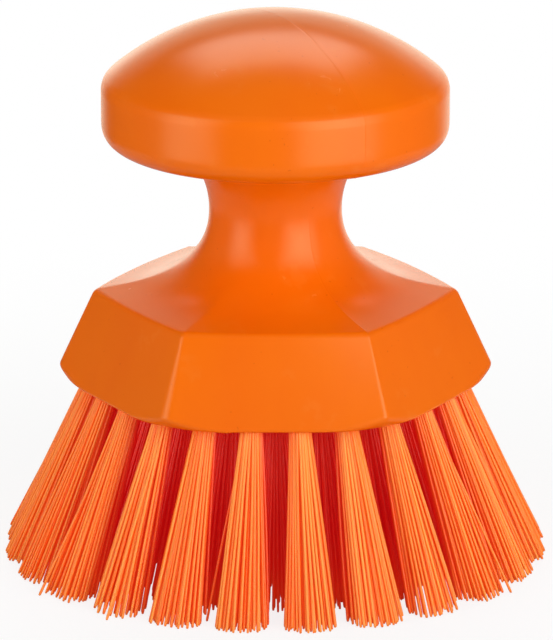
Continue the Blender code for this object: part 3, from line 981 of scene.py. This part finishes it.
@dataclass(frozen=True)
class Softbox:
    """A lamp that faces the brush, made of nested rectangles so that its edges fade.

    A lamp that isn't mirrored lights the brush without a reflection in its plastic.
    """

    name: str
    azimuth: float
    elevation: float
    width: float
    height: float
    radiance: float
    fade: float = 0.4
    tint: Colour = WHITE
    mirrored: bool = True
    distance: float = 0.9
    layers: int = 4

    def build(self, target: Vector) -> None:
        """Hang the lamp's layers and aim them at the target."""
        azimuth = math.radians(self.azimuth)
        elevation = math.radians(self.elevation)
        level = math.cos(elevation)
        outwards = level * math.sin(azimuth), -level * math.cos(azimuth), math.sin(elevation)
        towards = Vector(outwards)
        scales = [1.0]
        if self.mirrored:
            scales = np.linspace(1.0 + self.fade, 1.0 - self.fade, self.layers)
        for number, scale in enumerate(scales):
            lamp = bpy.data.lights.new(self.name, "AREA")
            lamp.shape = "RECTANGLE"
            lamp.size = self.width * scale
            lamp.size_y = self.height * scale
            lamp.color = self.tint
            lamp.energy = self.radiance / len(scales) * math.pi * lamp.size * lamp.size_y
            item = bpy.data.objects.new(self.name, lamp)
            item.location = target + towards * (self.distance + number * MM)
            item.rotation_euler = (-towards).to_track_quat("-Z", "Y").to_euler()
            item.visible_glossy = self.mirrored
            bpy.context.scene.collection.objects.link(item)


@dataclass
class Studio:
    """A white table and backdrop, soft lamps, and the photograph's camera."""

    image_height: int = 640
    camera_place: Triple = (0.0, -1.2, 0.40197)
    camera_pitch: float = 0.28692
    camera_roll: float = -0.0007
    focal_pixels: float = 6200.0
    shift_pixels: float = 0.996
    sensor_height: float = 36.0
    far_clip: float = 20.0
    table_radius: float = 0.24
    table_sides: int = 96
    table_roughness: float = 0.6
    table_colour: Colour = (0.50, 0.50, 0.50)
    table_seen: float = 0.85
    shadow_radius: float = 0.08
    room_strength: float = 0.05
    aim: Triple = (0.0, 0.0, 0.08)
    lamps: tuple[Softbox, ...] = (
        Softbox("rear_softbox", 180.0, 52.0, 0.66, 0.42, 2.6, fade=0.15),
        Softbox("backdrop", 176.0, -10.0, 1.04, 0.60, 1.1, tint=(1.0, 1.0, 0.8)),
        Softbox("horizon", 186.0, 1.0, 0.60, 0.24, 0.6, tint=(1.0, 1.0, 0.9)),
        Softbox("back_wall", 180.0, 17.0, 0.90, 0.34, 0.68, fade=0.2, tint=(1.0, 1.0, 0.8)),
        Softbox("left_panel", -58.0, 8.0, 0.48, 0.96, 2.5, fade=0.55),
        Softbox("right_panel", 42.0, 12.0, 0.74, 1.00, 3.2, fade=0.5),
        Softbox("overhead_fill", 0.0, 65.0, 1.50, 0.80, 0.50, mirrored=False),
        Softbox("front_fill", 0.0, 0.0, 0.90, 0.90, 0.50, mirrored=False),
        Softbox("left_fill", -95.0, 0.0, 1.00, 1.00, 0.9, mirrored=False),
        Softbox("right_fill", 95.0, 0.0, 1.00, 1.00, 0.75, mirrored=False),
    )

    def build_camera(self) -> None:
        """Set the camera that the photograph was taken with."""
        data = bpy.data.cameras.new("photo_camera")
        data.sensor_fit = "VERTICAL"
        data.sensor_height = self.sensor_height
        data.lens = self.focal_pixels * self.sensor_height / self.image_height
        data.shift_x = self.shift_pixels / self.image_height
        data.clip_end = self.far_clip
        camera = bpy.data.objects.new("photo_camera", data)
        tilt = Matrix.Rotation(math.pi / 2 - self.camera_pitch, 4, "X")
        roll = Matrix.Rotation(self.camera_roll, 4, "Z")
        camera.matrix_world = Matrix.Translation(self.camera_place) @ tilt @ roll
        bpy.context.scene.collection.objects.link(camera)
        bpy.context.scene.camera = camera

    def build_world(self) -> None:
        """Light the room dimly, and show it white to the camera."""
        world = bpy.data.worlds.new("white_room")
        graph = ShaderGraph(world)
        sockets = {0: graph.seen_directly(), 2: self.room_strength, 3: 1.0}
        strength = graph.node("ShaderNodeMix", {}, sockets)
        white = {"Color": (*WHITE, 1.0), "Strength": strength}
        graph.feed(graph.tree.nodes["Background"], white)
        bpy.context.scene.world = world

    def build_table(self) -> None:
        """Lay the white table, whose shadow shows faintly and whose rim melts into the room's white."""
        turn = turns(self.table_sides)
        circle = np.stack([np.cos(turn), np.sin(turn), np.zeros_like(turn)], axis=-1)
        rim = self.table_radius * circle
        mesh = bpy.data.meshes.new("white_table")
        mesh.from_pydata(rim.tolist(), [], [tuple(range(len(rim)))])
        graph = ShaderGraph(bpy.data.materials.new("white_table"))
        paper_colour = graph.mix(graph.seen_directly(), self.table_colour, WHITE)
        graph.finish({"Base Color": paper_colour, "Roughness": self.table_roughness})
        paper = Socket(graph, graph.tree.nodes["Principled BSDF"].outputs[0])
        white = graph.node("ShaderNodeEmission", {}, {"Strength": 1.0})
        length = {"operation": "LENGTH"}
        radius = graph.node("ShaderNodeVectorMath", length, {0: graph.place()}, "Value")
        open_table = radius.between(self.shadow_radius, self.table_radius)
        seen = graph.seen_directly() * (open_table * (1.0 - self.table_seen) + self.table_seen)
        mix = graph.node("ShaderNodeMixShader", {}, {0: seen, 1: paper, 2: white})
        graph.feed(graph.tree.nodes["Material Output"], {"Surface": mix})
        mesh.materials.append(graph.owner)
        table = bpy.data.objects.new("white_table", mesh)
        bpy.context.scene.collection.objects.link(table)

    def build(self) -> None:
        """Set up the whole studio."""
        bpy.context.scene.view_settings.view_transform = "Standard"
        self.build_camera()
        self.build_world()
        self.build_table()
        for lamp in self.lamps:
            lamp.build(Vector(self.aim))


def main() -> None:
    moulding = Moulding()
    tufts = TuftField(moulding)
    Studio().build()
    pieces = [moulding.build(tufts.seats())] + tufts.build()
    for piece in pieces:
        log.info("%s: %d faces", piece.name, len(piece.data.polygons))


if __name__ == "__main__":
    main()
